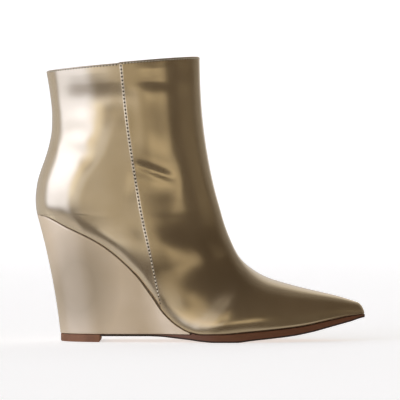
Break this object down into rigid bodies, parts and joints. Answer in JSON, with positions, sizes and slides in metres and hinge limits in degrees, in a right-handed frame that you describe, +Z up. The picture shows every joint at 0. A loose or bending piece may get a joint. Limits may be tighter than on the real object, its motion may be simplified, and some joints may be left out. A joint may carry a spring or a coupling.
{
  "type": "wedge heel ankle boot",
  "caption": "Pointed-toe ankle boot with a plain hollow shaft, lapped side seams, a high covered wedge heel, a thin outsole and a heel tip.",
  "frame": {"origin": "on the floor under the middle of the boot's bounding box", "axes": "+X to the toe, +Y to the inner (big toe) side of the right foot, +Z up"},
  "size_m": [0.2414, 0.082, 0.2078],
  "materials": {
    "upper": "metallic gloss",
    "wedge": "metallic satin",
    "outsole": "satin",
    "top_piece": "matte",
    "insole": "matte"
  },
  "bodies": {
    "root": {"upper": "upper", "wedge": "wedge", "outsole": "outsole", "top_piece": "top_piece", "insole": "insole"}
  },
  "joints": []
}
